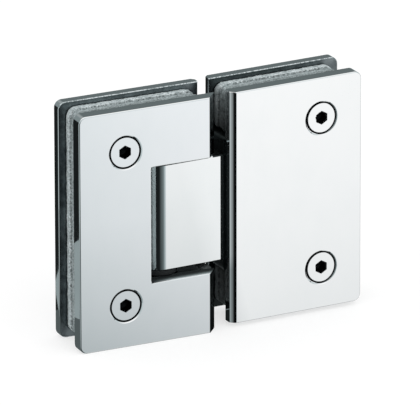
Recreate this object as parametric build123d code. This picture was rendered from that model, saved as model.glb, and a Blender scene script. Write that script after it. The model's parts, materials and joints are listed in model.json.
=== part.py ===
from build123d import *
from collections import namedtuple
import os

# Glass-to-glass shower door hinge: two clamping leaves joined by a pivot block.
# The origin is on the pivot pin's axis, half way up the left leaf.
# +X points along the left leaf towards the right leaf, -Y is the room side that is seen first, +Z is up.

# Leaves
left_leaf_width = 55.0
left_leaf_height = 90.0
right_leaf_width = 52.8
right_leaf_height = 88.4
right_leaf_rise = 0.8
leaf_gap = 5.0
pin_to_leaf_edge = 18.9
rest_swing = 2.4

# Plates
front_plate_thickness = 5.0
back_plate_thickness = 4.0
plate_corner_radius = 2.8
plate_edge_round = 0.45
inner_edge_round = 1.0
swing_bevel_width = 3.7
swing_bevel_depth = 4.3
inner_edge_bevel = 1.6

# Notch in the left plates, round the knuckle of the block
notch_depth = 26.8
notch_height = 44.2
notch_corner_radius = 1.0

# Pivot block, one casting: a round-ended knuckle and a taller root between the right plates
block_thickness = 12.8
block_front_clearance = 0.2
root_height = 51.2
root_length = 26.0
root_lead = 0.8
block_edge_chamfer = 0.4
root_corner_radius = 2.0

# Pivot pin with a four-sided cam in its middle
pin_radius = 4.0
pin_seat_length = 12.0
pin_end_chamfer = 0.5
pin_end_gap = 0.3
cam_flat_depth = 0.8
cam_half_length = 11.4
pin_fit = 0.05
cam_gap = 0.15

# Flanged bushes pressed into the block
bush_wall = 1.5
bush_length = 7.8
bush_flange_radius = 7.0
bush_flange_thickness = 1.5
bush_end_gap = 0.4
bush_press_gap = 0.02

# Seats that hold the ends of the pin in the left leaf, and their clamps
seat_height = 16.0
seat_left_reach = 7.6
seat_right_reach = 14.0
clamp_split = 0.4
clamp_edge_chamfer = 0.3
clamp_front_gap = 0.2
clamp_screw_offset = 9.2
clamp_screw_spacing = 8.0

# Self-centring plungers, their springs and adjusting screws
plunger_height = 6.5
plunger_radius = 4.0
plunger_bore_gap = 0.1
plunger_length = 11.0
plunger_lift = 0.05
plunger_chamfer = 0.4
spigot_radius = 2.0
spigot_length = 3.0
adjuster_radius = 5.0
adjuster_length = 8.0
adjuster_inset = 3.0
adjuster_hex = 5.0
adjuster_hex_depth = 4.0
adjuster_chamfer = 0.6
spring_wire_radius = 0.75
spring_outer_radius = 3.8
spring_turns = 6.0
spring_end_gap = 0.1

# Clamp screws, M6 with a countersunk head and a hexagon socket
pin_to_left_screws = 17.9
right_screw_from_edge = 16.3
left_screw_from_end = 15.8
right_screw_from_end = 15.5
m6_radius = 3.0
m6_head_radius = 5.65
m6_head_rim = 0.5
m6_head_sink = 0.5
m6_length = 18.0
m6_hex = 4.0
m6_hex_depth = 3.4
m6_hole_radius = 3.3
m6_well_radius = 6.2
m6_well_chamfer = 0.4
left_screw_turns = {"upper": 30.0, "lower": 30.0}
right_screw_turns = {"upper": 12.0, "lower": 27.0}

# M4 screws that hold the block on the right back plate
m4_radius = 2.0
m4_head_radius = 3.7
m4_head_rim = 0.25
m4_head_sink = 1.2
m4_length = 14.0
m4_hex = 2.5
m4_hex_depth = 1.5
m4_hole_radius = 2.2
block_screw_first = 6.0
block_screw_second = 20.0
block_screw_rise = 19.8

# M3 screws that draw the pin clamps on to their seats
m3_radius = 1.5
m3_head_radius = 2.8
m3_head_rim = 0.2
m3_head_sink = 0.3
m3_length = 14.0
m3_hex = 2.0
m3_hex_depth = 1.2
m3_hole_radius = 1.65

# Fit of every screw in its seat and thread
screw_seat_gap = 0.04
thread_gap = 0.03
blind_wall = 1.0

# Threaded bosses on the back plates and the sleeves that keep the glass off them
boss_radius = 5.0
boss_height = 8.4
boss_chamfer = 0.5
sleeve_wall = 1.35
sleeve_gap = 0.15

# Gaskets, four loose sheets in each leaf, which fill the slot while no glass is in it
gasket_count = 4
gasket_sheet_gap = 0.05
gasket_side_inset = 3.0
gasket_top_inset = 2.0
gasket_inner_inset = 2.2
gasket_corner_radius = 3.6
gasket_hole_gap = 0.3
gasket_cut_gap = 0.5
gasket_cut_radius = 1.5
gasket_shifts = ((0.0, 0.0), (-0.4, 0.25), (0.25, -0.3), (-0.2, 0.15))
gasket_names = ("front", "mid_front", "mid_back", "back")

# Levels that follow from the sizes above
block_half = block_thickness / 2
front_inner_y = -block_half - block_front_clearance
front_outer_y = front_inner_y - front_plate_thickness
back_inner_y = block_half
back_outer_y = back_inner_y + back_plate_thickness
left_high_x = pin_to_leaf_edge
left_low_x = left_high_x - left_leaf_width
right_low_x = left_high_x + leaf_gap
right_high_x = right_low_x + right_leaf_width
left_half = left_leaf_height / 2
right_low_z = right_leaf_rise - right_leaf_height / 2
right_high_z = right_leaf_rise + right_leaf_height / 2
notch_x = left_high_x - notch_depth
notch_half = notch_height / 2
knuckle_half = notch_half - bush_end_gap - bush_flange_thickness
root_low_x = right_low_x - root_lead
root_high_x = root_low_x + root_length
root_half = root_height / 2
seat_high_z = notch_half + seat_height
clamp_face_y = front_inner_y + clamp_front_gap
left_screw_x = -pin_to_left_screws
right_screw_x = right_high_x - right_screw_from_edge
levels = {"upper": 1, "lower": -1}
beyond = 1.0
near_enough = 0.01

Screw = namedtuple("Screw", "radius head rim sink length hexagon hexagon_depth hole")
m6 = Screw(
    m6_radius, m6_head_radius, m6_head_rim, m6_head_sink,
    m6_length, m6_hex, m6_hex_depth, m6_hole_radius)
m4 = Screw(
    m4_radius, m4_head_radius, m4_head_rim, m4_head_sink,
    m4_length, m4_hex, m4_hex_depth, m4_hole_radius)
m3 = Screw(
    m3_radius, m3_head_radius, m3_head_rim, m3_head_sink,
    m3_length, m3_hex, m3_hex_depth, m3_hole_radius)
upwards = (Align.CENTER, Align.CENTER, Align.MIN)


def block(low, high):
    """A box between two opposite corners."""
    size = [b - a for a, b in zip(low, high)]
    return Pos(*low) * Box(*size, align=(Align.MIN, Align.MIN, Align.MIN))


def rod(radius, x, z, low_y, high_y):
    """A round rod along Y."""
    return Pos(x, low_y, z) * Rot(-90, 0, 0) * Cylinder(radius, high_y - low_y, align=upwards)


def upright(radius, low_z, high_z):
    """A round rod on the pivot axis."""
    return Pos(0, 0, low_z) * Cylinder(radius, high_z - low_z, align=upwards)


def along_x(radius, z, low_x, high_x):
    """A round rod along X, in the middle plane."""
    return Pos(low_x, 0, z) * Rot(0, 90, 0) * Cylinder(radius, high_x - low_x, align=upwards)


def sunk_cone(rim_radius, x, z, rim_y):
    """A 90 degree countersink whose rim lies at rim_y and which narrows towards +Y."""
    cone = Cone(rim_radius, 0, rim_radius, align=upwards)
    return Pos(x, rim_y, z) * Rot(-90, 0, 0) * cone


def y_edges_at(part, x):
    """The edges that run along Y at one place on X."""
    return [e for e in part.edges().filter_by(Axis.Y) if abs(e.center().X - x) < near_enough]


def countersunk_screw(screw, x, z, face_y, turn=0.0):
    """A countersunk socket screw that points along +Y, its head sunk below the face at face_y."""
    shank_y = screw.rim + screw.head - screw.radius
    tip = screw.radius / 4
    outline = Polyline(
        (0, 0),
        (screw.head, 0),
        (screw.head, screw.rim),
        (screw.radius, shank_y),
        (screw.radius, screw.length - tip),
        (screw.radius - tip, screw.length),
        (0, screw.length),
        close=True,
    )
    body = revolve(make_face(Plane.XY * outline), Axis.Y)
    hexagon = RegularPolygon(screw.hexagon / 2, 6, major_radius=False)
    body = body - extrude(Plane.XZ * hexagon, -screw.hexagon_depth)
    point = Rot(-90, 0, 0) * Cone(screw.hexagon / 2, 0, screw.hexagon / 4, align=upwards)
    body = body - Pos(0, screw.hexagon_depth, 0) * point
    return Pos(x, face_y + screw.sink, z) * Rot(0, turn, 0) * body


def countersunk_hole(screw, x, z, face_y, far_y):
    """The countersink and clearance hole for a screw whose head is sunk below the face at face_y."""
    mouth = screw.head + screw_seat_gap + screw.sink + screw.rim
    return sunk_cone(mouth, x, z, face_y) + rod(screw.hole, x, z, face_y, far_y + beyond)


def clamp_screw_hole(x, z):
    """A front plate's hole for a clamp screw: a chamfered round well, a countersink and a clearance hole."""
    well_y = front_outer_y + m6.sink + m6.rim
    well = rod(m6_well_radius, x, z, front_outer_y - beyond, well_y)
    lip = sunk_cone(m6_well_radius + m6_well_chamfer, x, z, front_outer_y)
    lip = lip & rod(m6_well_radius * 2, x, z, front_outer_y, well_y)
    cone = sunk_cone(m6.head + screw_seat_gap, x, z, well_y)
    return well + lip + cone + rod(m6.hole, x, z, well_y, front_inner_y + beyond)


def screw_pair(x, low_z, high_z, from_end):
    """The places of the upper and the lower clamp screw of a leaf."""
    return {"upper": (x, high_z - from_end), "lower": (x, low_z + from_end)}


left_screws = screw_pair(left_screw_x, -left_half, left_half, left_screw_from_end)
right_screws = screw_pair(right_screw_x, right_low_z, right_high_z, right_screw_from_end)


def plate_from_plan(points, low_z, high_z):
    """A plate drawn in plan and raised from low_z to high_z."""
    plan = make_face(Polyline(*points, close=True))
    return Pos(0, 0, low_z) * extrude(plan, high_z - low_z)


def notch():
    """The opening in a left plate that the knuckle swings through."""
    low = (notch_x, front_outer_y - beyond, -notch_half)
    return block(low, (left_high_x + beyond, back_outer_y + beyond, notch_half))


def round_face_rim(part, face):
    """Break the sharp rim of one face."""
    return fillet(face.outer_wire().edges(), plate_edge_round)


def left_front_plate():
    plan = [
        (left_low_x, front_outer_y),
        (left_high_x - swing_bevel_width, front_outer_y),
        (left_high_x, front_outer_y + swing_bevel_depth),
        (left_high_x, front_inner_y),
        (left_low_x, front_inner_y),
    ]
    plate = plate_from_plan(plan, -left_half, left_half)
    plate = fillet(y_edges_at(plate, left_low_x), plate_corner_radius)
    plate = plate - notch()
    plate = fillet(y_edges_at(plate, notch_x), notch_corner_radius)
    plate = round_face_rim(plate, plate.faces().sort_by(Axis.Y)[0])
    for x, z in left_screws.values():
        plate = plate - clamp_screw_hole(x, z)
    return plate


def threaded_boss(x, z):
    """The round boss on a back plate that a clamp screw is driven into."""
    boss = rod(boss_radius, x, z, back_inner_y - boss_height, back_inner_y)
    return chamfer(boss.faces().sort_by(Axis.Y)[0].edges(), boss_chamfer)


def thread_bore(screw, x, z, mouth_y):
    """A blind tapped hole in a back plate, open towards -Y."""
    return rod(screw.radius + thread_gap, x, z, mouth_y - beyond, back_outer_y - blind_wall)


def pin_groove(sign):
    """The round bed of one end of the pin."""
    low = notch_half - beyond
    high = notch_half + pin_seat_length + pin_end_gap
    bed = upright(pin_radius + pin_fit, low, high)
    return bed if sign > 0 else mirror(bed, Plane.XY)


def clamp_screw_places(sign):
    """The two screws of one pin clamp, nearest the knuckle first."""
    middle = notch_half + seat_height / 2
    near = middle - clamp_screw_spacing / 2
    far = middle + clamp_screw_spacing / 2
    return {"near": (clamp_screw_offset, sign * near), "far": (clamp_screw_offset, sign * far)}


def between(sign, low, high):
    """The lower and the upper of two heights, above or below the middle."""
    return (low, high) if sign > 0 else (-high, -low)


def pin_seat(sign):
    """The cast seat behind one end of the pin."""
    low, high = between(sign, notch_half, seat_high_z)
    return block((-seat_left_reach, 0, low), (seat_right_reach, back_inner_y + beyond, high))


def left_back_plate():
    plan = [
        (left_low_x, back_inner_y),
        (left_high_x, back_inner_y),
        (left_high_x, back_outer_y - inner_edge_bevel),
        (left_high_x - inner_edge_bevel, back_outer_y),
        (left_low_x, back_outer_y),
    ]
    plate = plate_from_plan(plan, -left_half, left_half)
    plate = fillet(y_edges_at(plate, left_low_x), plate_corner_radius)
    plate = plate - notch()
    plate = fillet(y_edges_at(plate, notch_x), notch_corner_radius)
    plate = round_face_rim(plate, plate.faces().sort_by(Axis.Y)[-1])
    plate = round_face_rim(plate, plate.faces().filter_by(Axis.Y).sort_by(Axis.Y)[0])
    for sign in levels.values():
        plate = plate + pin_seat(sign) - pin_groove(sign)
        for x, z in clamp_screw_places(sign).values():
            plate = plate - thread_bore(m3, x, z, 0)
    for x, z in left_screws.values():
        plate = plate + threaded_boss(x, z)
        plate = plate - thread_bore(m6, x, z, back_inner_y - boss_height)
    return plate


def pin_clamp(sign):
    """The saddle that holds one end of the pin in its seat. Its heel bears on the seat beside the pin."""
    low, high = between(sign, notch_half, seat_high_z)
    clamp = block((-seat_left_reach, clamp_face_y, low), (seat_right_reach, 0, high))
    clamp = clamp - block((0, -clamp_split, low - beyond), (seat_right_reach + beyond, beyond, high + beyond))
    clamp = clamp - pin_groove(sign)
    for x, z in clamp_screw_places(sign).values():
        clamp = clamp - countersunk_hole(m3, x, z, clamp_face_y, 0)
    return chamfer(clamp.faces().sort_by(Axis.Y)[0].outer_wire().edges(), clamp_edge_chamfer)


def pivot_pin():
    half = notch_half + pin_seat_length
    pin = upright(pin_radius, -half, half)
    pin = chamfer(pin.edges().filter_by(GeomType.CIRCLE), pin_end_chamfer)
    flat = pin_radius - cam_flat_depth
    for turn in range(0, 360, 90):
        low = (flat, -pin_radius, -cam_half_length)
        slab = block(low, (pin_radius + beyond, pin_radius, cam_half_length))
        pin = pin - Rot(0, 0, turn) * slab
    return pin


def bush(sign):
    """A flanged bush, pressed into one end of the block's bore."""
    inner = pin_radius + pin_fit
    low, high = between(sign, knuckle_half - bush_length, knuckle_half)
    barrel = upright(inner + bush_wall - bush_press_gap, low, high)
    low, high = between(sign, knuckle_half, knuckle_half + bush_flange_thickness)
    flange = upright(bush_flange_radius, low, high)
    return barrel + flange - upright(inner, -notch_half, notch_half)


def knuckle():
    """The part of the block that swings in the notch, round at the pin and square where it meets the root."""
    far_x = root_low_x + root_corner_radius * 2
    body = block((0, -block_half, -knuckle_half), (far_x, block_half, knuckle_half))
    body = body + upright(block_half, -knuckle_half, knuckle_half)
    ends = body.faces().filter_by(Axis.Z)
    rims = [e for face in ends for e in face.outer_wire().edges() if e.center().X < root_low_x]
    return chamfer(rims, block_edge_chamfer)


def pivot_block():
    root = block((root_low_x, -block_half, -root_half), (root_high_x, block_half, root_half))
    root = Pos(0, 0, right_leaf_rise) * fillet(root.edges().filter_by(Axis.Y), root_corner_radius)
    body = knuckle() + root
    body = body - upright(pin_radius + cam_gap, -knuckle_half, knuckle_half)
    tapped_x = root_high_x - adjuster_inset - adjuster_length
    for sign in levels.values():
        low, high = between(sign, knuckle_half - bush_length, knuckle_half + beyond)
        body = body - upright(pin_radius + pin_fit + bush_wall, low, high)
        bore_z = sign * plunger_height
        body = body - along_x(plunger_radius + plunger_bore_gap, bore_z, 0, root_high_x + beyond)
        body = body - along_x(adjuster_radius + thread_gap, bore_z, tapped_x, root_high_x + beyond)
    for x, z in block_screw_places().values():
        body = body - countersunk_hole(m4, x, z, -block_half, block_half)
    return body


def block_screw_places():
    """The four screws that fix the block to the right back plate."""
    places = {}
    for name, sign in levels.items():
        for side, column in {"near": block_screw_first, "far": block_screw_second}.items():
            places[f"{name}_{side}"] = (root_low_x + column, right_leaf_rise + sign * block_screw_rise)
    return places


def plunger(sign):
    """A spring plunger, drawn back to where it rides on the round of the pin."""
    z = sign * plunger_height
    tip = pin_radius + plunger_lift
    heel = tip + plunger_length
    body = along_x(plunger_radius, z, tip, heel)
    body = chamfer(body.edges().filter_by(GeomType.CIRCLE), plunger_chamfer)
    return body + along_x(spigot_radius, z, heel - beyond, heel + spigot_length)


def spring_span():
    """Where the springs begin and end along X."""
    low = pin_radius + plunger_lift + plunger_length + spring_end_gap
    high = root_high_x - adjuster_inset - adjuster_length - spring_end_gap
    return low, high


def spring(sign):
    """A compression spring between a plunger and its adjusting screw, its wire drawn with eight flats."""
    low, high = spring_span()
    coil_radius = spring_outer_radius - spring_wire_radius
    rise = high - low - 2 * spring_wire_radius
    path = Helix(pitch=rise / spring_turns, height=rise, radius=coil_radius)
    wire = Plane(origin=path @ 0, z_dir=path % 0) * RegularPolygon(spring_wire_radius, 8)
    coil = sweep(wire, path, is_frenet=True)
    return Pos(low + spring_wire_radius, 0, sign * plunger_height) * Rot(0, 90, 0) * coil


def adjusting_screw(sign):
    """The set screw that loads one spring."""
    high = root_high_x - adjuster_inset
    z = sign * plunger_height
    screw = along_x(adjuster_radius, z, high - adjuster_length, high)
    screw = chamfer(screw.edges().filter_by(GeomType.CIRCLE), adjuster_chamfer)
    hexagon = RegularPolygon(adjuster_hex / 2, 6, major_radius=False)
    socket = Rot(0, 90, 0) * extrude(hexagon, adjuster_hex_depth + beyond)
    socket = Pos(high - adjuster_hex_depth, 0, z) * socket
    return screw - socket


def right_front_plate():
    plan = [
        (right_low_x, front_inner_y),
        (right_low_x, front_outer_y + inner_edge_bevel),
        (right_low_x + inner_edge_bevel, front_outer_y),
        (right_high_x, front_outer_y),
        (right_high_x, front_inner_y),
    ]
    plate = plate_from_plan(plan, right_low_z, right_high_z)
    plate = fillet(y_edges_at(plate, right_high_x), plate_corner_radius)
    front = plate.faces().sort_by(Axis.Y)[0]
    plate = fillet(front.edges().sort_by(Axis.X)[0], inner_edge_round)
    front = plate.faces().sort_by(Axis.Y)[0]
    plate = fillet(front.edges().sort_by(Axis.X)[1:], plate_edge_round)
    for x, z in right_screws.values():
        plate = plate - clamp_screw_hole(x, z)
    return plate


def right_back_plate():
    plan = [
        (right_low_x, back_inner_y),
        (right_low_x, back_outer_y - inner_edge_bevel),
        (right_low_x + inner_edge_bevel, back_outer_y),
        (right_high_x, back_outer_y),
        (right_high_x, back_inner_y),
    ]
    plate = plate_from_plan(plan, right_low_z, right_high_z)
    plate = fillet(y_edges_at(plate, right_high_x), plate_corner_radius)
    plate = round_face_rim(plate, plate.faces().sort_by(Axis.Y)[-1])
    plate = round_face_rim(plate, plate.faces().filter_by(Axis.Y).sort_by(Axis.Y)[0])
    for x, z in right_screws.values():
        plate = plate + threaded_boss(x, z)
        plate = plate - thread_bore(m6, x, z, back_inner_y - boss_height)
    for x, z in block_screw_places().values():
        plate = plate - thread_bore(m4, x, z, back_inner_y)
    return plate


def sleeve(x, z):
    """The plastic sleeve round a clamp screw and its boss, which the glass bears on."""
    inner = boss_radius + sleeve_gap
    low = front_inner_y + sleeve_gap
    high = back_inner_y - sleeve_gap
    return rod(inner + sleeve_wall, x, z, low, high) - rod(inner, x, z, low - beyond, high + beyond)


def gasket(index, low_x, high_x, low_z, high_z, cut, screws):
    """One sheet of a stack, with its cut for the metal between the plates and its screw holes."""
    slot = back_inner_y - front_inner_y
    thickness = (slot - gasket_sheet_gap * (gasket_count + 1)) / gasket_count
    low_y = front_inner_y + gasket_sheet_gap + index * (thickness + gasket_sheet_gap)
    shift_x, shift_z = gasket_shifts[index]
    low = (low_x + shift_x, low_y, low_z + shift_z)
    high = (high_x + shift_x, low_y + thickness, high_z + shift_z)
    sheet = block(low, high)
    sheet = fillet(sheet.edges().filter_by(Axis.Y), gasket_corner_radius)
    opening = fillet(cut.edges().filter_by(Axis.Y), gasket_cut_radius)
    sheet = sheet - opening
    for x, z in screws.values():
        radius = boss_radius + sleeve_gap + sleeve_wall + gasket_hole_gap
        sheet = sheet - rod(radius, x, z, low_y - beyond, low_y + thickness + beyond)
    return sheet


def left_gasket(index):
    reach = seat_high_z + gasket_cut_gap
    cut = block(
        (-seat_left_reach - gasket_cut_gap, front_outer_y, -reach),
        (left_high_x + gasket_corner_radius, back_outer_y, reach),
    )
    low_x = left_low_x + gasket_side_inset
    high_x = left_high_x - gasket_inner_inset
    half = left_half - gasket_top_inset
    return gasket(index, low_x, high_x, -half, half, cut, left_screws)


def right_gasket(index):
    reach = root_half + gasket_cut_gap
    cut = block(
        (root_low_x - gasket_corner_radius, front_outer_y, right_leaf_rise - reach),
        (root_high_x + gasket_cut_gap, back_outer_y, right_leaf_rise + reach),
    )
    low_x = right_low_x + gasket_inner_inset
    high_x = right_high_x - gasket_side_inset
    low_z = right_low_z + gasket_top_inset
    high_z = right_high_z - gasket_top_inset
    return gasket(index, low_x, high_x, low_z, high_z, cut, right_screws)


def left_leaf_parts():
    """Every piece that stays with the left leaf, by name."""
    parts = {
        "left_front_plate": left_front_plate(),
        "left_back_plate": left_back_plate(),
        "pivot_pin": pivot_pin(),
    }
    for index, name in enumerate(gasket_names):
        parts[f"left_gasket_{name}"] = left_gasket(index)
    for level, sign in levels.items():
        x, z = left_screws[level]
        parts[f"{level}_pin_clamp"] = pin_clamp(sign)
        parts[f"left_{level}_screw"] = countersunk_screw(m6, x, z, front_outer_y, left_screw_turns[level])
        parts[f"left_{level}_sleeve"] = sleeve(x, z)
        for place, (screw_x, screw_z) in clamp_screw_places(sign).items():
            parts[f"{level}_clamp_screw_{place}"] = countersunk_screw(m3, screw_x, screw_z, clamp_face_y)
    return parts


def right_leaf_parts():
    """Every piece that swings with the right leaf, drawn with the leaves in line."""
    parts = {
        "right_front_plate": right_front_plate(),
        "right_back_plate": right_back_plate(),
        "pivot_block": pivot_block(),
    }
    for index, name in enumerate(gasket_names):
        parts[f"right_gasket_{name}"] = right_gasket(index)
    for place, (x, z) in block_screw_places().items():
        parts[f"block_screw_{place}"] = countersunk_screw(m4, x, z, -block_half)
    for level, sign in levels.items():
        x, z = right_screws[level]
        parts[f"{level}_bush"] = bush(sign)
        parts[f"{level}_plunger"] = plunger(sign)
        parts[f"{level}_spring"] = spring(sign)
        parts[f"{level}_adjusting_screw"] = adjusting_screw(sign)
        parts[f"right_{level}_screw"] = countersunk_screw(m6, x, z, front_outer_y, right_screw_turns[level])
        parts[f"right_{level}_sleeve"] = sleeve(x, z)
    return parts


os.makedirs("parts", exist_ok=True)
hinge = dict(left_leaf_parts())
for name, part in right_leaf_parts().items():
    hinge[name] = Rot(0, 0, rest_swing) * part
for name, part in hinge.items():
    export_step(part, f"parts/{name}.step")
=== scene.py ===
import bpy
import json
from math import cos, pi, radians, sin
from mathutils import Matrix, Vector

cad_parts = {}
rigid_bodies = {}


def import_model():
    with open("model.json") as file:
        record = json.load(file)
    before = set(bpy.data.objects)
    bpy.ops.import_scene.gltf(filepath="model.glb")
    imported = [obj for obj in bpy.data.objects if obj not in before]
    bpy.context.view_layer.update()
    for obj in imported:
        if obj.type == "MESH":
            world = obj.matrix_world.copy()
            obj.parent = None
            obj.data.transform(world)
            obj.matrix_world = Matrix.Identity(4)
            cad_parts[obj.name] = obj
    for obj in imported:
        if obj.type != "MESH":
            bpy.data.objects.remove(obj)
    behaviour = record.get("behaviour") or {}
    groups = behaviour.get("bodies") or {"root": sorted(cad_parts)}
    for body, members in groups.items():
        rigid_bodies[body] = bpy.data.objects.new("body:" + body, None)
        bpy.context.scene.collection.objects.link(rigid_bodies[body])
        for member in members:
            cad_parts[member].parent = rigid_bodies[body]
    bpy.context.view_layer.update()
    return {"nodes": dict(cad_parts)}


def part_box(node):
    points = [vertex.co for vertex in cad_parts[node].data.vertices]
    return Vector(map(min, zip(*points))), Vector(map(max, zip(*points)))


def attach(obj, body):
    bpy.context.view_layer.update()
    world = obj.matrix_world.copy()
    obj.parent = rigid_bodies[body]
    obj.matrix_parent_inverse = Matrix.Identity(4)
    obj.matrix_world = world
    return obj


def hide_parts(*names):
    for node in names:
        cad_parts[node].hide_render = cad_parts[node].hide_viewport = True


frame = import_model()

MM = 0.001
nodes = frame["nodes"]
floor_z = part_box("left_front_plate")[0].z

# The right leaf stands a little off line while the hinge is at rest
SWINGS = {"left": 0.0, "right": radians(2.4)}
LEVELS = ("upper", "lower")

# Clamp screws and the wells that their heads sit in, and where painted shade lies in them
WELL_RADIUS = 6.25 * MM
WELL_LIP_DEPTH = 0.14 * MM
WELL_WALL_DEPTH = 0.55 * MM
HEAD_RIM_RADIUS = 5.52 * MM
SOCKET_SHADE_HALF_WIDTH = 2.3 * MM

# Bevels, notch and inner faces of the plates, in each leaf's own directions
NOTCH_X = -7.9 * MM
NOTCH_HALF_HEIGHT = 22.1 * MM
# How deep the painted shade on the notch's flat walls runs, and where it turns from dark to lit
NOTCH_SHADE_DEPTH = 5 * MM
NOTCH_DARK_X = -7 * MM
NOTCH_LIT_X = 1 * MM
SWING_BEVEL_START = 15.2 * MM
SWING_BEVEL_WIDTH = 3.7 * MM
SWING_BEVEL_DEPTH = 4.3 * MM
INNER_BEVEL_START = 25.5 * MM
INNER_BEVEL_WIDTH = 1.6 * MM
INNER_BEVEL_ROUND = 0.5 * MM
BEVEL_MARGIN = 0.1 * MM
BACK_INNER_Y = 6.4 * MM
INNER_FACE_MARGIN = 0.03 * MM
BACK_RIM_DEPTH = 0.48 * MM
# Bands of the back plates' top rim and of the painted light near the top of the inner faces, and where
# painted shade lies at the foot of the gap
TOP_BAND = (42 * MM, 44 * MM)
PALE_END = (52 * MM, 70 * MM)
GAP_SIDE = (32 * MM, 30 * MM)
GAP_FOOT = (-36 * MM, -39 * MM)

# The pivot block: a polished knuckle, and a root behind and above it in painted black shade
ROOT_LOW_X = 19.0 * MM
ROOT_FRONT_DEPTH = 0.8 * MM
KNUCKLE_HALF_HEIGHT = 19.75 * MM
UNDER_PLATE_X = 23.2 * MM

# The photograph's view, from a least-squares fit to the plates' edges
IMAGE_WIDTH = 420
VIEW_AZIMUTH = radians(-25.134)
VIEW_ELEVATION = radians(20.105)
VIEW_ROLL = radians(-0.085)
VIEW_DISTANCE = 3039 * MM
VIEW_TARGET = Vector((20.15, -1.14, 0.955)) * MM
PIXELS_PER_METRE = 2776
SENSOR_WIDTH = 36
FAR_CLIP = 20


def look_from(azimuth, elevation, roll):
    """The turned axes of a camera: right, up and back, as columns."""
    back = Vector((sin(azimuth) * cos(elevation), -cos(azimuth) * cos(elevation), sin(elevation)))
    right = Vector((cos(azimuth), sin(azimuth), 0))
    up = back.cross(right)
    turned = Matrix((right, up, back)).transposed()
    return turned @ Matrix.Rotation(roll, 3, "Z")


def add_camera():
    data = bpy.data.cameras.new("photo_view")
    data.sensor_width = SENSOR_WIDTH
    data.lens = PIXELS_PER_METRE * VIEW_DISTANCE * SENSOR_WIDTH / IMAGE_WIDTH
    data.clip_end = FAR_CLIP
    camera = bpy.data.objects.new("photo_view", data)
    bpy.context.scene.collection.objects.link(camera)
    turned = look_from(VIEW_AZIMUTH, VIEW_ELEVATION, VIEW_ROLL)
    place = VIEW_TARGET + turned @ Vector((0, 0, VIEW_DISTANCE))
    camera.matrix_world = Matrix.Translation(place) @ turned.to_4x4()
    bpy.context.scene.camera = camera


# Nodes of a material

def new_material(name):
    """An empty material with its shader and output."""
    material = bpy.data.materials.new(name)
    material.use_nodes = True
    tree = material.node_tree
    tree.nodes.clear()
    shader = tree.nodes.new("ShaderNodeBsdfPrincipled")
    output = tree.nodes.new("ShaderNodeOutputMaterial")
    tree.links.new(shader.outputs["BSDF"], output.inputs["Surface"])
    return material, tree, shader


def new_surface(name):
    """A new material with its output, for a surface that isn't the shader alone."""
    material, tree, shader = new_material(name)
    output = next(node for node in tree.nodes if node.type == "OUTPUT_MATERIAL")
    return material, tree, shader, output


def fill(tree, node, key, value):
    """Set one input to a number or colour, or link it to a socket."""
    if isinstance(value, bpy.types.NodeSocket):
        tree.links.new(value, node.inputs[key])
    else:
        node.inputs[key].default_value = value


def add_node(tree, kind, inputs=None, **settings):
    """A shader node with its settings and its inputs."""
    node = tree.nodes.new(kind)
    for key, value in settings.items():
        setattr(node, key, value)
    for key, value in (inputs or {}).items():
        fill(tree, node, key, value)
    return node


def reckon(tree, operation, first, second=0.0):
    """One step of arithmetic on two numbers or sockets."""
    return add_node(tree, "ShaderNodeMath", {0: first, 1: second}, operation=operation).outputs[0]


def noise(tree, where, scale, detail=3.0, roughness=0.5):
    values = {"Vector": where, "Scale": scale, "Detail": detail, "Roughness": roughness}
    return add_node(tree, "ShaderNodeTexNoise", values).outputs["Fac"]


def spread(tree, value, low, high, to_low=0.0, to_high=1.0):
    """A value taken from one range to another, and held at its ends."""
    values = {"Value": value, "From Min": low, "From Max": high, "To Min": to_low, "To Max": to_high}
    return add_node(tree, "ShaderNodeMapRange", values).outputs[0]


def ramp(tree, factor, stops):
    """A colour ramp through (place, grey or colour) stops."""
    node = add_node(tree, "ShaderNodeValToRGB", {"Fac": factor})
    band = node.color_ramp
    while len(band.elements) < len(stops):
        band.elements.new(0.5)
    for element, (place, colour) in zip(band.elements, stops):
        element.position = place
        element.color = colour if isinstance(colour, tuple) else (colour, colour, colour, 1)
    return node.outputs["Color"]


RED_IN_THE_DARK = 0.83
BLUE_EXCESS = 1.02


def cool(grey):
    """A studio grey, a touch bluer the darker it is."""
    red = grey * (RED_IN_THE_DARK + (1 - RED_IN_THE_DARK) * grey**2)
    return (red, grey, min(grey * BLUE_EXCESS, 1), 1)


def placed(tree, where, scale=(1, 1, 1), swing=0.0):
    """Coordinates stretched along the axes, or turned into a leaf's own directions."""
    values = {"Vector": where, "Scale": scale, "Rotation": (0, 0, -swing)}
    return add_node(tree, "ShaderNodeMapping", values).outputs["Vector"]


def split(tree, vector):
    """The x, y and z of a vector."""
    node = add_node(tree, "ShaderNodeSeparateXYZ", {"Vector": vector})
    return node.outputs["X"], node.outputs["Y"], node.outputs["Z"]


def object_place(tree):
    return add_node(tree, "ShaderNodeTexCoord").outputs["Object"]


def blend_colours(tree, factor, first, second):
    node = add_node(tree, "ShaderNodeMix", data_type="RGBA")
    for key, value in ((0, factor), (6, first), (7, second)):
        fill(tree, node, key, value)
    return node.outputs[2]


def blend_values(tree, factor, first, second):
    node = add_node(tree, "ShaderNodeMix", {0: factor, 2: first, 3: second}, data_type="FLOAT")
    return node.outputs[0]


def bump(tree, height, strength, distance):
    values = {"Height": height, "Strength": strength, "Distance": distance}
    return add_node(tree, "ShaderNodeBump", values).outputs["Normal"]


# Effects that several materials share

def new_group(name, takes, gives):
    """An empty node group with named inputs and outputs."""
    tree = bpy.data.node_groups.new(name, "ShaderNodeTree")
    for socket, kind in takes.items():
        tree.interface.new_socket(socket, in_out="INPUT", socket_type=kind)
    for socket in gives:
        tree.interface.new_socket(socket, in_out="OUTPUT", socket_type="NodeSocketFloat")
    return tree, tree.nodes.new("NodeGroupInput").outputs, tree.nodes.new("NodeGroupOutput")


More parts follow.
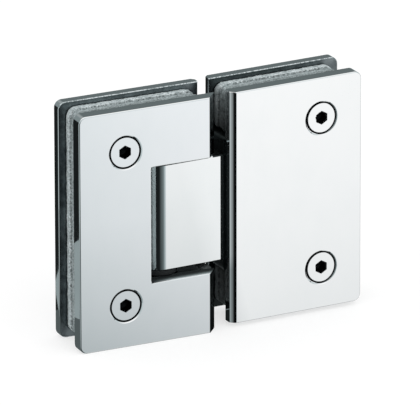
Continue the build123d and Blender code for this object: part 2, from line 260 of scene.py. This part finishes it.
def polish_marks_group():
    """Cloudy wipe marks left on plating, and the faint waviness of a buffed face."""
    tree, given, output = new_group("polish_marks", {"Place": "NodeSocketVector"}, ("Dull", "Waves"))
    clouds = noise(tree, given["Place"], scale=55, detail=5)
    stretched = placed(tree, given["Place"], scale=(130, 130, 70))
    wipes = noise(tree, stretched, scale=1, detail=4)
    dull = spread(tree, reckon(tree, "MULTIPLY", clouds, wipes), 0.15, 0.4)
    waves = noise(tree, given["Place"], scale=90, detail=1)
    tree.links.new(dull, output.inputs["Dull"])
    tree.links.new(waves, output.inputs["Waves"])
    return tree


def round_well_group():
    """A mask for what lies within a radius of a screw's centre line and below a depth."""
    takes = {
        "Place": "NodeSocketVector",
        "Centre X": "NodeSocketFloat",
        "Centre Z": "NodeSocketFloat",
        "Radius": "NodeSocketFloat",
        "Depth": "NodeSocketFloat",
    }
    tree, given, output = new_group("round_well", takes, ("From Axis", "Inside"))
    x, y, z = split(tree, given["Place"])
    across = reckon(tree, "SUBTRACT", x, given["Centre X"])
    rise = reckon(tree, "SUBTRACT", z, given["Centre Z"])
    across_squared = reckon(tree, "MULTIPLY", across, across)
    rise_squared = reckon(tree, "MULTIPLY", rise, rise)
    reach = reckon(tree, "SQRT", reckon(tree, "ADD", across_squared, rise_squared))
    near = reckon(tree, "LESS_THAN", reach, given["Radius"])
    below = reckon(tree, "GREATER_THAN", y, given["Depth"])
    tree.links.new(reach, output.inputs["From Axis"])
    tree.links.new(reckon(tree, "MULTIPLY", near, below), output.inputs["Inside"])
    return tree


groups = {"polish_marks": polish_marks_group(), "round_well": round_well_group()}


def use_group(tree, name, inputs):
    """One of the shared effects, placed in a material."""
    node = add_node(tree, "ShaderNodeGroup", node_tree=groups[name])
    for key, value in inputs.items():
        fill(tree, node, key, value)
    return node.outputs


# Plating

CHROME = (0.94, 0.955, 0.96, 1)
CHROME_WIPED = (0.92, 0.94, 0.945, 1)
BLOCK_CHROME = (0.91, 0.935, 0.94, 1)
BLOCK_WIPED = (0.89, 0.92, 0.925, 1)
# Painted shade down the screw wells and sockets, and round the screw heads' rims
WELL_WALL_PAINTED_SHADE = (0.27, 0.3, 0.305, 1)
CREVICE_PAINTED_SHADE = (0.012, 0.013, 0.014, 1)
INNER_FACE_PAINTED_TOP_LIGHT = (0.21, 0.24, 0.25, 1)
INNER_FACE_PATCHES_AND_SHADE = (0.07, 0.082, 0.088, 1)
# Painted dark reflection on the bevel that clears the door's swing
SWING_BEVEL_PAINTED_SHADE = (0.3, 0.33, 0.34, 1)
MILLED_ROUGHNESS = 0.5
INNER_FACE_ROUGHNESS = 0.24
ROOT_ROUGHNESS = 0.4
# Lowest and highest roughness of a plated face, as its wipe marks come and go
POLISHED = (0.02, 0.05)
HANDLED = (0.03, 0.07)
SATIN = (0.3, 0.45)
MILLED_GLOSS = 0.1

# Painted reflection and shade of the notch's flat walls, from the bright lip to the dark depth
NOTCH_PAINTED_LIGHT = [
    (0.0, cool(0.95)), (0.14, cool(0.5)), (0.34, cool(0.16)), (0.6, cool(0.03)), (0.9, cool(0.02)),
]
# Painted reflection across the inner bevel of the door side, from the gap to the front
INNER_BEVEL_PAINTED_REFLECTION = [
    (0.0, 0.95), (0.12, 0.68), (0.26, 0.46), (0.38, 0.34), (0.46, 0.2), (0.5, 0.02), (0.9, 0.02),
    (0.96, 0.9),
]


def plating(tree, where, colour, dull, low_roughness, high_roughness):
    """The colour, roughness and waviness that every plated piece starts from."""
    marks = use_group(tree, "polish_marks", {"Place": where})
    shade = blend_colours(tree, marks["Dull"], colour, dull)
    rough = spread(tree, marks["Dull"], 0, 1, low_roughness, high_roughness)
    return shade, rough, bump(tree, marks["Waves"], strength=0.03, distance=0.2 * MM)


def finish_plating(tree, shader, shade, rough, normal, metal=1.0):
    values = {"Metallic": metal, "Base Color": shade, "Roughness": rough, "Normal": normal}
    for key, value in values.items():
        fill(tree, shader, key, value)


def in_leaf(point, side):
    """A point in its leaf's own directions."""
    return Matrix.Rotation(-SWINGS[side], 3, "Z") @ point


def leaf_centre(name, side):
    low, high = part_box(name)
    return in_leaf((low + high) / 2, side)


def leaf_depths(name, side):
    """Where a piece begins and ends from the room side to the back, in its leaf's own directions."""
    depths = [in_leaf(vertex.co, side).y for vertex in nodes[name].data.vertices]
    return min(depths), max(depths)


def notch_walls(tree, x, y, z, face, shade, rough):
    """The notch's walls, milled and left satin, with a painted reflection along the flat walls' front lip
    and painted shade behind it and towards the upright wall.
    """
    inside_x = reckon(tree, "GREATER_THAN", x, NOTCH_X - BEVEL_MARGIN)
    half_height = NOTCH_HALF_HEIGHT + BEVEL_MARGIN
    inside_z = reckon(tree, "LESS_THAN", reckon(tree, "ABSOLUTE", z), half_height)
    walls = reckon(tree, "MULTIPLY", inside_x, inside_z)
    upright = reckon(tree, "LESS_THAN", x, NOTCH_X + BEVEL_MARGIN)
    depth = reckon(tree, "SUBTRACT", y, face)
    # The flat walls are non-metal: a painted reflection at the lip, painted shade deeper in and towards
    # the upright wall
    painted_fall_off = ramp(tree, spread(tree, depth, 0, NOTCH_SHADE_DEPTH), NOTCH_PAINTED_LIGHT)
    lit = spread(tree, x, NOTCH_DARK_X, NOTCH_LIT_X)
    flat_wall_painted_light = blend_colours(tree, lit, cool(0.02), painted_fall_off)
    drawn_out = placed(tree, object_place(tree), scale=(1, 1, 0.5))
    grit = noise(tree, drawn_out, scale=1500, detail=4)
    upright_wall = blend_colours(tree, grit, cool(0.25), cool(0.57))
    milled = blend_colours(tree, upright, flat_wall_painted_light, upright_wall)
    metal = reckon(tree, "SUBTRACT", 1.0, reckon(tree, "SUBTRACT", walls, upright))
    shade = blend_colours(tree, walls, shade, milled)
    return shade, blend_values(tree, walls, rough, MILLED_ROUGHNESS), metal


def swing_bevel(tree, x, y, face, shade):
    """The bevel that clears the swing of the door, darker than the front beside it as a painted dark
    reflection.
    """
    from_start = reckon(tree, "SUBTRACT", x, SWING_BEVEL_START)
    along = reckon(tree, "MULTIPLY", from_start, SWING_BEVEL_DEPTH)
    into = reckon(tree, "MULTIPLY", reckon(tree, "SUBTRACT", y, face), SWING_BEVEL_WIDTH)
    short_of = reckon(tree, "SUBTRACT", into, along)
    slant = (SWING_BEVEL_WIDTH**2 + SWING_BEVEL_DEPTH**2) ** 0.5
    on_bevel = reckon(tree, "LESS_THAN", short_of, BEVEL_MARGIN * slant)
    return blend_colours(tree, on_bevel, shade, SWING_BEVEL_PAINTED_SHADE)


def inner_bevel(tree, x, y, face, shade):
    """The bevel of the door side's inner edge, with a painted reflection that falls off to black along
    the front.
    """
    along = reckon(tree, "SUBTRACT", x, INNER_BEVEL_START)
    into = reckon(tree, "SUBTRACT", y, face)
    on_bevel = reckon(tree, "LESS_THAN", reckon(tree, "ADD", along, into), 3 * BEVEL_MARGIN)
    gap_edge = INNER_BEVEL_START - INNER_BEVEL_WIDTH
    front_edge = INNER_BEVEL_START + INNER_BEVEL_ROUND
    painted_fall_off = ramp(tree, spread(tree, x, gap_edge, front_edge), INNER_BEVEL_PAINTED_REFLECTION)
    return blend_colours(tree, on_bevel, shade, painted_fall_off)


def back_rim(tree, where, y, z, shade):
    """The speckled top rim of a back plate, beside its inner face."""
    on_rim = reckon(tree, "LESS_THAN", y, BACK_INNER_Y + BACK_RIM_DEPTH)
    on_rim = reckon(tree, "MULTIPLY", on_rim, spread(tree, z, *TOP_BAND))
    specks = noise(tree, where, scale=1600, detail=3)
    specks = ramp(tree, specks, [(0.36, cool(0.28)), (0.58, cool(0.78))])
    return blend_colours(tree, on_rim, shade, specks)


def inner_face(tree, where, x, z, side, layer):
    """The dull face that bears on the gasket: patchy, dark partly as a dull finish and partly as painted
    shade, paler near the top as painted light, and black at the gap's foot as painted shade.
    """
    patches = noise(tree, where, scale=260, detail=5)
    patches = ramp(tree, patches, [(0.4, 0.0), (0.62, 1.0)])
    patches = reckon(tree, "SUBTRACT", patches, spread(tree, z, *TOP_BAND))
    # Painted light near the top; on the right leaf it stays dim except towards the outer end
    painted_top_light = INNER_FACE_PAINTED_TOP_LIGHT
    if side == "right":
        painted_top_light = blend_colours(tree, spread(tree, x, *PALE_END), cool(0.1), INNER_FACE_PAINTED_TOP_LIGHT)
    shade = blend_colours(tree, spread(tree, patches, -1, 1), painted_top_light, INNER_FACE_PATCHES_AND_SHADE)
    # Painted shade at the foot of the gap between the leaves
    if (side, layer) == ("right", "back"):
        beside_gap = spread(tree, x, *GAP_SIDE)
        near_foot = spread(tree, z, *GAP_FOOT)
        shade = blend_colours(tree, reckon(tree, "MULTIPLY", beside_gap, near_foot), shade, cool(0.015))
    return shade


def screw_wells(tree, where, face, side, shade, rough):
    """The wells of a front plate, in painted shade: a grey wall below the lip, and black further down."""
    for level in LEVELS:
        centre = leaf_centre(f"{side}_{level}_screw", side)
        well = {"Place": where, "Centre X": centre.x, "Centre Z": centre.z, "Radius": WELL_RADIUS}
        wall = use_group(tree, "round_well", {**well, "Depth": face + WELL_LIP_DEPTH})["Inside"]
        deep = use_group(tree, "round_well", {**well, "Depth": face + WELL_WALL_DEPTH})["Inside"]
        # Painted shade: grey on the wall below the lip, black further down
        shade = blend_colours(tree, wall, shade, WELL_WALL_PAINTED_SHADE)
        shade = blend_colours(tree, deep, shade, CREVICE_PAINTED_SHADE)
        rough = blend_values(tree, wall, rough, MILLED_ROUGHNESS)
    return shade, rough


def plate_chrome(side, layer):
    """A plate's plating, with its bevel, notch, inner face and wells."""
    material, tree, shader = new_material(f"{side}_{layer}_chrome")
    where = placed(tree, object_place(tree), swing=SWINGS[side])
    shade, rough, normal = plating(tree, where, CHROME, CHROME_WIPED, *POLISHED)
    x, y, z = split(tree, where)
    face, inner_y = leaf_depths(f"{side}_{layer}_plate", side)
    metal = 1.0
    if layer == "front":
        bevel = swing_bevel if side == "left" else inner_bevel
        shade = bevel(tree, x, y, face, shade)
    if side == "left":
        shade, rough, metal = notch_walls(tree, x, y, z, face, shade, rough)
        shader.inputs["Specular IOR Level"].default_value = MILLED_GLOSS
    if layer == "front":
        inside = reckon(tree, "GREATER_THAN", y, inner_y - INNER_FACE_MARGIN)
    else:
        shade = back_rim(tree, where, y, z, shade)
        inside = reckon(tree, "LESS_THAN", y, BACK_INNER_Y + INNER_FACE_MARGIN)
    shade = blend_colours(tree, inside, shade, inner_face(tree, where, x, z, side, layer))
    rough = blend_values(tree, inside, rough, INNER_FACE_ROUGHNESS)
    if layer == "front":
        shade, rough = screw_wells(tree, where, face, side, shade, rough)
    finish_plating(tree, shader, shade, rough, normal, metal)
    return material


def hexagon(tree, where, centre, half_width):
    """A mask for the inside of a hexagon with its corners up and down."""
    x, y, z = split(tree, where)
    across = reckon(tree, "ABSOLUTE", reckon(tree, "SUBTRACT", x, centre.x))
    rise = reckon(tree, "ABSOLUTE", reckon(tree, "SUBTRACT", z, centre.z))
    across_part = reckon(tree, "MULTIPLY", across, cos(pi / 3))
    rise_part = reckon(tree, "MULTIPLY", rise, sin(pi / 3))
    slant = reckon(tree, "ADD", across_part, rise_part)
    return reckon(tree, "LESS_THAN", reckon(tree, "MAXIMUM", across, slant), half_width)


def clamp_screw_chrome(name, side):
    """A clamp screw's plating, with painted shade: a black socket and a black rim where the head meets
    its well.
    """
    material, tree, shader = new_material(name + "_chrome")
    where = placed(tree, object_place(tree), swing=SWINGS[side])
    shade, rough, normal = plating(tree, where, CHROME, CHROME_WIPED, *HANDLED)
    centre = leaf_centre(name, side)
    face = leaf_depths(name, side)[0]
    head = {"Place": where, "Centre X": centre.x, "Centre Z": centre.z, "Radius": HEAD_RIM_RADIUS}
    from_axis = use_group(tree, "round_well", {**head, "Depth": face})["From Axis"]
    beyond_rim = reckon(tree, "GREATER_THAN", from_axis, HEAD_RIM_RADIUS)
    # Painted shade: black down the hex socket and beyond the head's rim
    black = reckon(tree, "MAXIMUM", hexagon(tree, where, centre, SOCKET_SHADE_HALF_WIDTH), beyond_rim)
    shade = blend_colours(tree, black, shade, CREVICE_PAINTED_SHADE)
    rough = blend_values(tree, black, rough, MILLED_ROUGHNESS)
    finish_plating(tree, shader, shade, rough, normal)
    return material


def block_chrome():
    """The block's plating: polished on the knuckle, satin and in painted black shade on the root that the
    leaf hides.
    """
    material, tree, shader = new_material("block_chrome")
    where = placed(tree, object_place(tree), swing=SWINGS["right"])
    shade, rough, normal = plating(tree, where, BLOCK_CHROME, BLOCK_WIPED, *POLISHED)
    x, y, z = split(tree, where)
    front = leaf_depths("pivot_block", "right")[0]
    behind = reckon(tree, "GREATER_THAN", y, front + ROOT_FRONT_DEPTH)
    above = reckon(tree, "GREATER_THAN", reckon(tree, "ABSOLUTE", z), KNUCKLE_HALF_HEIGHT)
    under_plate = reckon(tree, "GREATER_THAN", x, UNDER_PLATE_X)
    hidden = reckon(tree, "MAXIMUM", reckon(tree, "MAXIMUM", behind, above), under_plate)
    root = reckon(tree, "MULTIPLY", reckon(tree, "GREATER_THAN", x, ROOT_LOW_X), hidden)
    grain = noise(tree, where, scale=700, detail=4)
    # Painted black shade with a fine grain, where the leaf hides the root
    root_painted_shade = blend_colours(tree, grain, cool(0.015), cool(0.06))
    shade = blend_colours(tree, root, shade, root_painted_shade)
    rough = blend_values(tree, root, rough, ROOT_ROUGHNESS)
    finish_plating(tree, shader, shade, rough, normal)
    return material


def saddle_satin():
    """Near-black satin metal of the saddles."""
    material, tree, shader = new_material("saddle_satin")
    parts = plating(tree, object_place(tree), cool(0.035), cool(0.02), *SATIN)
    finish_plating(tree, shader, *parts)
    return material


# Plastic and steel

def moulded_plastic(name, colour, shade, gloss):
    """Moulded plastic with a soft cloudiness and a fine grain."""
    material, tree, shader = new_material(name)
    where = object_place(tree)
    clouds = noise(tree, where, scale=240, detail=4)
    grain = noise(tree, where, scale=1800, detail=2)
    tree.links.new(blend_colours(tree, clouds, colour, shade), shader.inputs["Base Color"])
    tree.links.new(bump(tree, grain, strength=0.15, distance=0.05 * MM), shader.inputs["Normal"])
    shader.inputs["Roughness"].default_value = 0.38
    shader.inputs["Specular IOR Level"].default_value = gloss
    return material


def turned_steel(name, colour, shade, roughness):
    """Turned or drawn steel with fine rings along the pin's axis."""
    material, tree, shader = new_material(name)
    rings = noise(tree, placed(tree, object_place(tree), scale=(40, 40, 3000)), scale=1)
    tree.links.new(blend_colours(tree, rings, colour, shade), shader.inputs["Base Color"])
    tree.links.new(bump(tree, rings, strength=0.2, distance=0.05 * MM), shader.inputs["Normal"])
    shader.inputs["Metallic"].default_value = 1
    shader.inputs["Roughness"].default_value = roughness
    return material


def paint(name, material):
    """Give a CAD node its finish."""
    data = nodes[name].data
    data.materials.clear()
    data.materials.append(material)


def finish_leaves():
    """Plates and clamp screws, leaf by leaf."""
    for side in SWINGS:
        for layer in ("front", "back"):
            paint(f"{side}_{layer}_plate", plate_chrome(side, layer))
        for level in LEVELS:
            screw = f"{side}_{level}_screw"
            paint(screw, clamp_screw_chrome(screw, side))


def finish_nodes():
    finish_leaves()
    steel = turned_steel("pin_steel", (0.62, 0.63, 0.64, 1), (0.5, 0.51, 0.52, 1), roughness=0.3)
    black = turned_steel("black_steel", (0.06, 0.06, 0.065, 1), (0.03, 0.03, 0.03, 1), roughness=0.45)
    sleeve = moulded_plastic("sleeve_plastic", (0.84, 0.84, 0.8, 1), (0.78, 0.78, 0.75, 1), gloss=0.5)
    bush = moulded_plastic("bush_plastic", (0.03, 0.033, 0.034, 1), (0.018, 0.02, 0.021, 1), gloss=0.12)
    finishes = {
        "sleeve": sleeve,
        "bush": bush,
        "pin_clamp": saddle_satin(),
        "adjusting": black,
        "clamp_screw": black,
        "block_screw": black,
        "plunger": steel,
        "spring": steel,
        "pivot_pin": steel,
        "pivot_block": block_chrome(),
    }
    for name in nodes:
        for part_of_name, finish in finishes.items():
            if part_of_name in name:
                paint(name, finish)


# Gasket sheets

SHEET_THICKNESS = 3.19 * MM
# The outer sheets of a stack are paler than the ones between them
SHEET_TONES = {
    "front": (0.2, 0.66),
    "mid_front": (0.08, 0.4),
    "mid_back": (0.14, 0.5),
    "back": (0.26, 0.72),
}
SPECKLE_SHARE = 0.72
CRUMB_SHARE = 0.7
# A sheet's rim, where dotted painted shade of the seams between sheets lies, as distances from the middle
# of its thickness
SEAM_SHADE_BAND = (1.15 * MM, 1.45 * MM)
# Painted shade on each gasket's edge in the gap between the leaves, strong low down and fading out near
# the top
PAINTED_SHADE_EDGE = {"left": (14.2 * MM, 14.8 * MM), "right": (28.0 * MM, 27.2 * MM)}
PAINTED_SHADE_UPWARDS = [(0.0, 0.8), (0.12, 0.8), (0.28, 0.88), (0.8, 0.85), (0.9, 0.6), (0.96, 0.42), (1.0, 0.0)]


def gasket_rubber(side, layer):
    """Pressed fibre and rubber: pale and speckled, with dark crumbs, a dotted rim of painted seam shade,
    and painted shade on the edge in the gap between the leaves.
    """
    sheet = f"{side}_gasket_{layer}"
    low_tone, high_tone = SHEET_TONES[layer]
    material, tree, shader = new_material(sheet + "_rubber")
    where = object_place(tree)
    x, y, z = split(tree, placed(tree, where, swing=SWINGS[side]))

    speckle = noise(tree, where, scale=1500, detail=4, roughness=0.65)
    mottle = noise(tree, placed(tree, where, scale=(1, 1, 0.7)), scale=420, detail=3)
    fine = reckon(tree, "MULTIPLY", speckle, SPECKLE_SHARE)
    coarse = reckon(tree, "MULTIPLY", mottle, 1 - SPECKLE_SHARE)
    middle_tone = (low_tone + high_tone) / 2
    tones = [(0.38, cool(low_tone)), (0.49, cool(middle_tone)), (0.6, cool(high_tone))]
    colour = ramp(tree, reckon(tree, "ADD", fine, coarse), tones)

    cells = add_node(tree, "ShaderNodeTexVoronoi", {"Vector": where, "Scale": 900}).outputs["Distance"]
    crumbs = ramp(tree, cells, [(0.12, 1.0), (0.22, 0.0)])
    colour = blend_colours(tree, reckon(tree, "MULTIPLY", crumbs, CRUMB_SHARE), colour, cool(0.08))

    sheet_middle = leaf_depths(sheet, side)[0] + SHEET_THICKNESS / 2
    off_middle = reckon(tree, "ABSOLUTE", reckon(tree, "SUBTRACT", y, sheet_middle))
    # Dark dots along the sheet's rim: painted shade of the seams between sheets
    rim = spread(tree, off_middle, *SEAM_SHADE_BAND)
    dots = noise(tree, placed(tree, where, scale=(1, 0.3, 1)), scale=1100, detail=3)
    dots = ramp(tree, dots, [(0.42, 0.0), (0.58, 0.65)])
    colour = blend_colours(tree, reckon(tree, "MULTIPLY", rim, dots), colour, cool(0.03))

    # Painted shade of the gap between the leaves
    edge = spread(tree, x, *PAINTED_SHADE_EDGE[side])
    painted_gap_shade = ramp(tree, spread(tree, z, floor_z, -floor_z), PAINTED_SHADE_UPWARDS)
    colour = blend_colours(tree, reckon(tree, "MULTIPLY", edge, painted_gap_shade), colour, cool(0.006))

    tree.links.new(colour, shader.inputs["Base Color"])
    tree.links.new(bump(tree, speckle, strength=0.5, distance=0.15 * MM), shader.inputs["Normal"])
    shader.inputs["Roughness"].default_value = 0.7
    return material


VOXEL = 0.5 * MM
TONGUE_GAP = 0.6 * MM
TONGUE_OVERLAP = 0.5 * MM
TONGUE_RISE = 2.4 * MM
# Below this much of its direction along the sheet's thickness, a surface is a cut edge
FLAT_DIRECTION = 0.75
EDGE_REST_LEVEL = 0.55


def deselect():
    """Nothing selected and nothing active, so that an operator acts on its own piece alone."""
    for other in bpy.context.view_layer.objects:
        other.select_set(False)
    bpy.context.view_layer.objects.active = None


def displaced(piece, group, grain, strength):
    """Push the sheet's cut edges in and out by a cloudy pattern."""
    texture = bpy.data.textures.new(f"waves_{grain}", "CLOUDS")
    texture.noise_scale = grain
    modifier = piece.modifiers.new("waves", "DISPLACE")
    modifier.texture = texture
    modifier.texture_coords = "LOCAL"
    modifier.strength = strength
    modifier.mid_level = EDGE_REST_LEVEL
    modifier.vertex_group = group
    bpy.ops.object.modifier_apply(modifier=modifier.name)


def tongue(sheet, sign):
    """Beside a saddle, the strip of the sheet that closes the leaf's inner edge."""
    low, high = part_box(sheet)
    saddle_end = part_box("upper_pin_clamp")[1]
    left = saddle_end.x + TONGUE_GAP
    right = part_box("left_front_plate")[1].x - TONGUE_GAP
    bottom = NOTCH_HALF_HEIGHT - TONGUE_OVERLAP
    top = saddle_end.z + TONGUE_RISE
    middle = ((left + right) / 2, (low.y + high.y) / 2, sign * (bottom + top) / 2)
    size = (right - left, high.y - low.y, top - bottom)
    bpy.ops.mesh.primitive_cube_add(size=1, location=middle, scale=size)


def gasket_sheet(side, layer):
    """A gasket sheet with soft, ragged edges, made from its plain CAD outline."""
    name = f"{side}_gasket_{layer}"
    deselect()
    piece = bpy.data.objects.new(name + "_ragged", nodes[name].data.copy())
    bpy.context.scene.collection.objects.link(piece)
    piece.select_set(True)
    bpy.context.view_layer.objects.active = piece
    bpy.ops.object.mode_set(mode="EDIT")
    bpy.ops.mesh.select_all(action="SELECT")
    bpy.ops.mesh.remove_doubles(threshold=0.001 * MM)
    if side == "left":
        tongue(name, 1)
        tongue(name, -1)
    bpy.ops.object.mode_set(mode="OBJECT")
    modifier = piece.modifiers.new("cloth", "REMESH")
    modifier.mode = "VOXEL"
    modifier.voxel_size = VOXEL
    bpy.ops.object.modifier_apply(modifier=modifier.name)
    modifier = piece.modifiers.new("soften", "SMOOTH")
    modifier.factor = 0.5
    modifier.iterations = 3
    bpy.ops.object.modifier_apply(modifier=modifier.name)
    edge = piece.vertex_groups.new(name="cut_edge")
    for vertex in piece.data.vertices:
        if abs(vertex.normal.y) < FLAT_DIRECTION:
            edge.add([vertex.index], 1.0, "REPLACE")
    displaced(piece, edge.name, grain=3.2 * MM, strength=0.4 * MM)
    displaced(piece, edge.name, grain=0.8 * MM, strength=0.3 * MM)
    bpy.ops.object.shade_smooth_by_angle(angle=radians(60))
    piece.data.materials.clear()
    piece.data.materials.append(gasket_rubber(side, layer))
    piece.vertex_groups.clear()
    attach(piece, f"{side}_leaf")
    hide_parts(name)


def add_gaskets():
    for side in SWINGS:
        for layer in SHEET_TONES:
            gasket_sheet(side, layer)


# Staging: a white floor, soft lamps, and what polished metal mirrors

FLOOR_SIZE = 6.0
FLOOR_WHITE = (0.93, 0.93, 0.93, 1)
FLOOR_GRAIN = (0.92, 0.92, 0.92, 1)
BACKDROP_SHARE = 0.6
BACKDROP_STRENGTH = 1.1
WHITE = (1, 1, 1, 1)

# Outlines on the floor, in millimetres
LEFT_REFLECTOR = [
    (-47.5, 33), (-57, 58), (-63.9, 69.7), (-74.5, 88.4), (-85, 97), (-150, 170), (-170, 21), (-50.3, 21),
]
LEFT_REFLECTOR_GREY = 0.31
LEFT_FOOT_SHADE = [(-35, -12), (-35, 33), (-47.5, 33), (-50.3, 21), (-170, 21), (-170, -12)]
LEFT_FOOT_GREY = 0.098
CARD_LIFT = 0.2 * MM
CARD_UNEVENNESS = 0.15

# The shade in front: its extent, how far it leans sideways, and where it begins and ends below the plates
SHADE_LIFT = 0.1 * MM
SHADE_LEFT = -66 * MM
SHADE_RIGHT = 420 * MM
SHADE_NEAR = 2 * MM
SHADE_REACH = 320 * MM
SHADE_LEAN = 0.468
SHADE_SIDES = (-62 * MM, 28 * MM)
SHADE_COLOUR = (0.0, 0.058, 0.067, 1)
SHADE_AWAY = [(0.04, 0.46), (0.19, 0.32), (0.42, 0.15), (0.73, 0.05), (1.0, 0.0)]
SHADE_ACROSS = [(0.0, 0.0), (0.2, 1.0), (0.89, 0.72), (1.0, 0.35)]


def stage_plane(name, corners, material):
    """A flat staging surface through its corners."""
    mesh = bpy.data.meshes.new(name)
    mesh.from_pydata(corners, [], [tuple(range(len(corners)))])
    plane = bpy.data.objects.new(name, mesh)
    bpy.context.scene.collection.objects.link(plane)
    mesh.materials.append(material)
    return plane


def rectangle(low_x, high_x, low_y, high_y, z):
    return [(low_x, low_y, z), (high_x, low_y, z), (high_x, high_y, z), (low_x, high_y, z)]


def for_mirrors_only(plane):
    """Only polished surfaces see this card, as they see a studio's flags and reflectors."""
    plane.visible_camera = False
    plane.visible_diffuse = False
    plane.visible_shadow = False
    plane.visible_transmission = False


def emission(tree, colour, strength):
    return add_node(tree, "ShaderNodeEmission", {"Color": colour, "Strength": strength}).outputs[0]


def add_floor():
    """White paper that the camera sees as the backdrop, with part of the object's shadow kept."""
    material, tree, shader, output = new_surface("floor_paper")
    grain = noise(tree, object_place(tree), scale=30, detail=2)
    tree.links.new(blend_colours(tree, grain, FLOOR_WHITE, FLOOR_GRAIN), shader.inputs["Base Color"])
    shader.inputs["Roughness"].default_value = 0.9
    seen = add_node(tree, "ShaderNodeLightPath").outputs["Is Camera Ray"]
    white = emission(tree, WHITE, BACKDROP_STRENGTH)
    share = reckon(tree, "MULTIPLY", seen, BACKDROP_SHARE)
    mixed = add_node(tree, "ShaderNodeMixShader", {0: share, 1: shader.outputs[0], 2: white})
    tree.links.new(mixed.outputs[0], output.inputs["Surface"])
    half = FLOOR_SIZE / 2
    floor = stage_plane("floor", rectangle(-half, half, -half, half, floor_z), material)
    floor.visible_glossy = False


def card(name, outline, grey):
    """A card that lies on the floor and shows in the chrome as one grey."""
    material, tree, shader, output = new_surface(name)
    grain = noise(tree, object_place(tree), scale=14)
    dim = cool(grey * (1 - CARD_UNEVENNESS))
    bright = cool(grey * (1 + CARD_UNEVENNESS))
    clouds = blend_colours(tree, grain, dim, bright)
    tree.links.new(emission(tree, clouds, 1.0), output.inputs["Surface"])
    corners = [(x * MM, y * MM, floor_z + CARD_LIFT) for x, y in outline]
    for_mirrors_only(stage_plane(name, corners, material))


def add_front_shade():
    """The shading of the floor close in front of the leaves, deeper under the left one."""
    material, tree, shader, output = new_surface("front_shade")
    x, y, z = split(tree, object_place(tree))
    away = reckon(tree, "MULTIPLY", y, -1.0)
    foot = reckon(tree, "SUBTRACT", x, reckon(tree, "MULTIPLY", away, SHADE_LEAN))
    deep = ramp(tree, spread(tree, away, 0.0, SHADE_REACH), SHADE_AWAY)
    side = ramp(tree, spread(tree, foot, *SHADE_SIDES), SHADE_ACROSS)
    share = reckon(tree, "MULTIPLY", deep, side)
    tint = blend_colours(tree, share, WHITE, SHADE_COLOUR)
    clear = add_node(tree, "ShaderNodeBsdfTransparent", {"Color": tint})
    tree.links.new(clear.outputs[0], output.inputs["Surface"])
    corners = rectangle(SHADE_LEFT, SHADE_RIGHT, -SHADE_REACH, -SHADE_NEAR, floor_z + SHADE_LIFT)
    for_mirrors_only(stage_plane("front_shade", corners, material))


def add_area(name, place, target, size, power):
    """A soft lamp that lights the matt surfaces and isn't mirrored."""
    data = bpy.data.lights.new(name, "AREA")
    data.shape = "RECTANGLE"
    data.size, data.size_y = size
    data.energy = power
    lamp = bpy.data.objects.new(name, data)
    bpy.context.scene.collection.objects.link(lamp)
    back = (Vector(place) - Vector(target)).normalized()
    turned = back.to_track_quat("Z", "Y").to_matrix().to_4x4()
    lamp.matrix_world = Matrix.Translation(place) @ turned
    lamp.visible_glossy = False


# What a vertical polished face mirrors, by degrees round from the front: white to the right of the
# front, a soft grey fall-off, a black flag, a grey reflector at the left, a black flag behind left
LOW_RING = [
    (-180, 0.75), (-174, 0.6), (-170, 0.012), (-140, 0.012), (-134, 0.3), (-105, 0.45), (-58, 0.6),
    (-50, 0.012), (-18, 0.012), (-13, 0.025), (-6, 0.085), (0, 0.12), (7, 0.17), (14, 0.27),
    (20, 0.55), (24.4, 0.87), (25.6, 0.98), (29, 1.0), (75, 1.0), (96, 0.5), (101, 0.012), (144, 0.012),
    (150, 0.5), (180, 0.75),
]
# What a top face mirrors, above the horizon
HIGH_RING = [
    (-180, 0.24), (-165, 0.25), (-140, 0.25), (-90, 0.5), (-30, 0.6), (30, 0.7), (90, 0.6), (130, 0.2),
    (150, 0.155), (160, 0.15), (180, 0.24),
]
# Heights of a mirrored direction, from -1 straight down to 1 straight up
HORIZON = (-0.02, 0.04)
OVERHEAD = (0.45, 0.85)
TENT_UPWARDS = [(0.0, 0.35), (0.5, 0.5), (0.75, 0.9), (1.0, 1.0)]


def ring(tree, turn, stops):
    return ramp(tree, turn, [(degrees / 360 + 0.5, cool(grey)) for degrees, grey in stops])


def add_world():
    """A light tent: plain light on everything, and a ring of flags and reflectors for the chrome."""
    world = bpy.data.worlds.new("light_tent")
    bpy.context.scene.world = world
    world.use_nodes = True
    tree = world.node_tree
    tree.nodes.clear()
    x, y, z = split(tree, add_node(tree, "ShaderNodeTexCoord").outputs["Generated"])
    angle = reckon(tree, "ARCTAN2", x, reckon(tree, "MULTIPLY", y, -1.0))
    turn = spread(tree, angle, -pi, pi)
    above = blend_colours(tree, spread(tree, z, *OVERHEAD), ring(tree, turn, HIGH_RING), WHITE)
    mirrored = blend_colours(tree, spread(tree, z, *HORIZON), ring(tree, turn, LOW_RING), above)
    tent = ramp(tree, spread(tree, z, -1.0, 1.0), TENT_UPWARDS)
    paths = add_node(tree, "ShaderNodeLightPath").outputs
    light = blend_colours(tree, paths["Is Glossy Ray"], tent, mirrored)
    light = blend_colours(tree, paths["Is Camera Ray"], light, WHITE)
    background = add_node(tree, "ShaderNodeBackground", {"Color": light, "Strength": 1.0})
    output = add_node(tree, "ShaderNodeOutputWorld")
    tree.links.new(background.outputs[0], output.inputs[0])


def add_stage():
    add_floor()
    add_front_shade()
    card("left_reflector", LEFT_REFLECTOR, LEFT_REFLECTOR_GREY)
    card("left_foot_shade", LEFT_FOOT_SHADE, LEFT_FOOT_GREY)
    add_world()
    add_area("key_softbox", place=(0.2, -1.3, 1.6), target=(0.02, 0, 0), size=(1.4, 1.4), power=9)
    add_area("fill_softbox", place=(-1.4, -0.4, 1.2), target=(0.02, 0, 0), size=(1.0, 1.0), power=2)


add_camera()
finish_nodes()
add_gaskets()
add_stage()

bpy.context.scene.view_settings.view_transform = "Standard"
